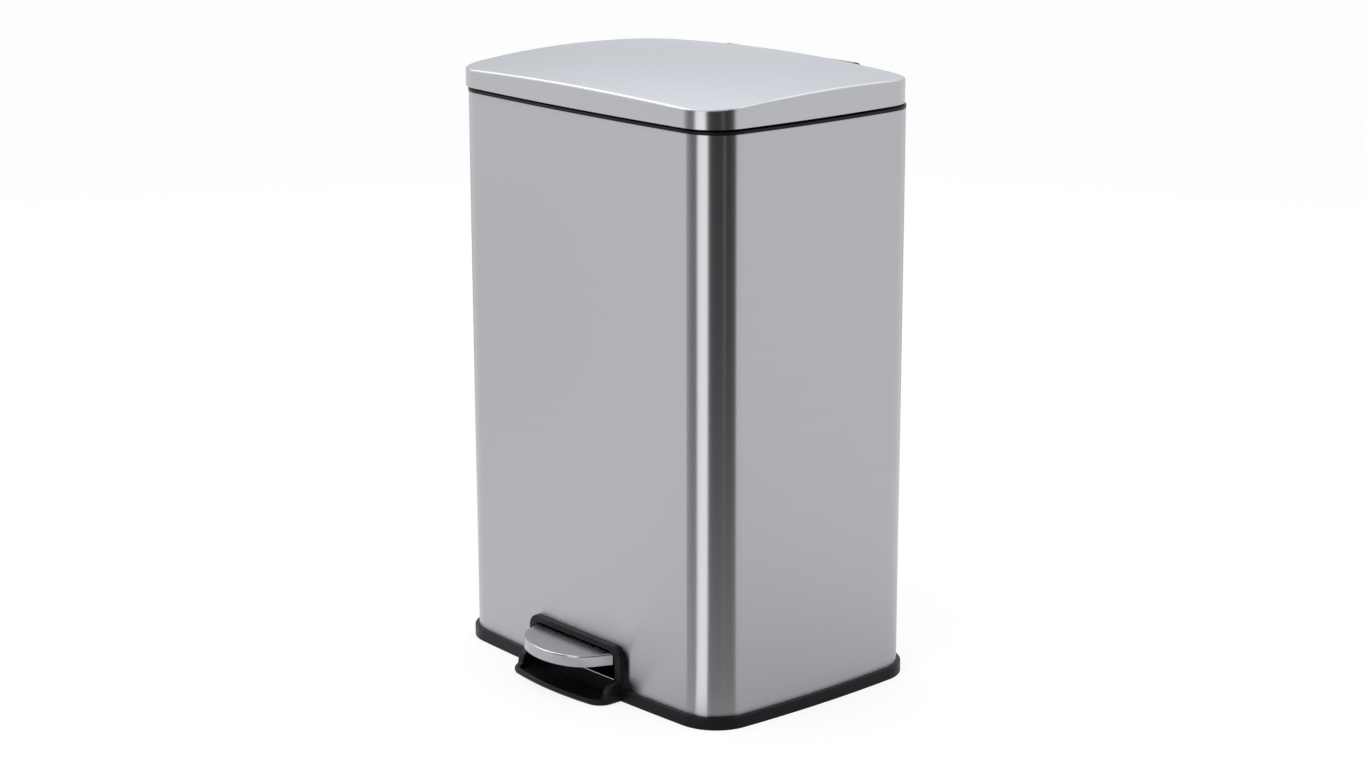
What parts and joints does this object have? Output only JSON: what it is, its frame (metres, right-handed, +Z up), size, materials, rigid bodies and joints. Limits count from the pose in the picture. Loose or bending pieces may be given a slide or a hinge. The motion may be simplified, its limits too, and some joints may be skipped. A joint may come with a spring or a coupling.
{
  "type": "pedal bin",
  "caption": "Tall rectangular kitchen bin with a bowed brushed-steel body, a domed lid on a rear hinge lifted by a front pedal, a black base and rim, and an inner bucket.",
  "frame": {"origin": "on the floor, under the middle of the steel body", "axes": "+Z up, -Y towards the pedal at the front, +X to the right seen from the front"},
  "size_m": [0.4334, 0.363, 0.65],
  "materials": {
    "brushed_steel": "stainless steel sheet with a fine level brush grain",
    "black_plastic": "black moulded polypropylene, finely textured",
    "bucket_plastic": "dark grey moulded polypropylene",
    "rubber": "soft black rubber",
    "plated_steel": "zinc-plated steel"
  },
  "bodies": {
    "bin_body": {"base": "black_plastic", "outer_shell": "brushed_steel", "top_rim": "black_plastic", "hinge_housing": "black_plastic", "hinge_screws": "plated_steel", "hinge_pins": "plated_steel", "foot_pads": "rubber", "bottom_plate": "black_plastic", "plate_screws": "plated_steel", "rod_guide": "black_plastic", "pedal_axle": "plated_steel", "axle_clips": "plated_steel"},
    "lid": {"lid_skin": "brushed_steel", "lid_liner": "black_plastic", "hinge_arms": "black_plastic", "lid_screws": "plated_steel", "lid_crank": "plated_steel", "crank_pin": "plated_steel", "lid_bumpers": "rubber"},
    "lever": {"pedal_lever": "plated_steel", "pedal_cap": "brushed_steel", "pedal_core": "black_plastic", "pedal_rivets": "plated_steel", "axle_bushes": "black_plastic", "rod_pin": "plated_steel", "rod_spacers": "black_plastic"},
    "rod": {"push_rod": "plated_steel"},
    "bucket": {"inner_bucket": "bucket_plastic"}
  },
  "joints": [
    {"name": "lid_hinge", "type": "hinge", "parent": "bin_body", "child": "lid", "pos_m": [0, 0.152, 0.6315], "axis": [-1, 0, 0], "range_deg": [0, 88]},
    {"name": "pedal_pivot", "type": "hinge", "parent": "bin_body", "child": "lever", "pos_m": [0, -0.04, 0.028], "axis": [1, 0, 0], "range_deg": [0, 10.1]},
    {"name": "rod_pivot", "type": "hinge", "parent": "lever", "child": "rod", "pos_m": [0, 0.13309, 0.01272], "axis": [1, 0, 0], "range_deg": [-10.1, 0]},
    {"name": "bucket_lift", "type": "slide", "parent": "bin_body", "child": "bucket", "axis": [0, 0, 1], "range_m": [0, 0.007]}
  ],
  "couplings": [
    {"joint": "pedal_pivot", "follows": "lid_hinge", "ratio": 0.11468},
    {"joint": "rod_pivot", "follows": "lid_hinge", "ratio": -0.11468}
  ]
}
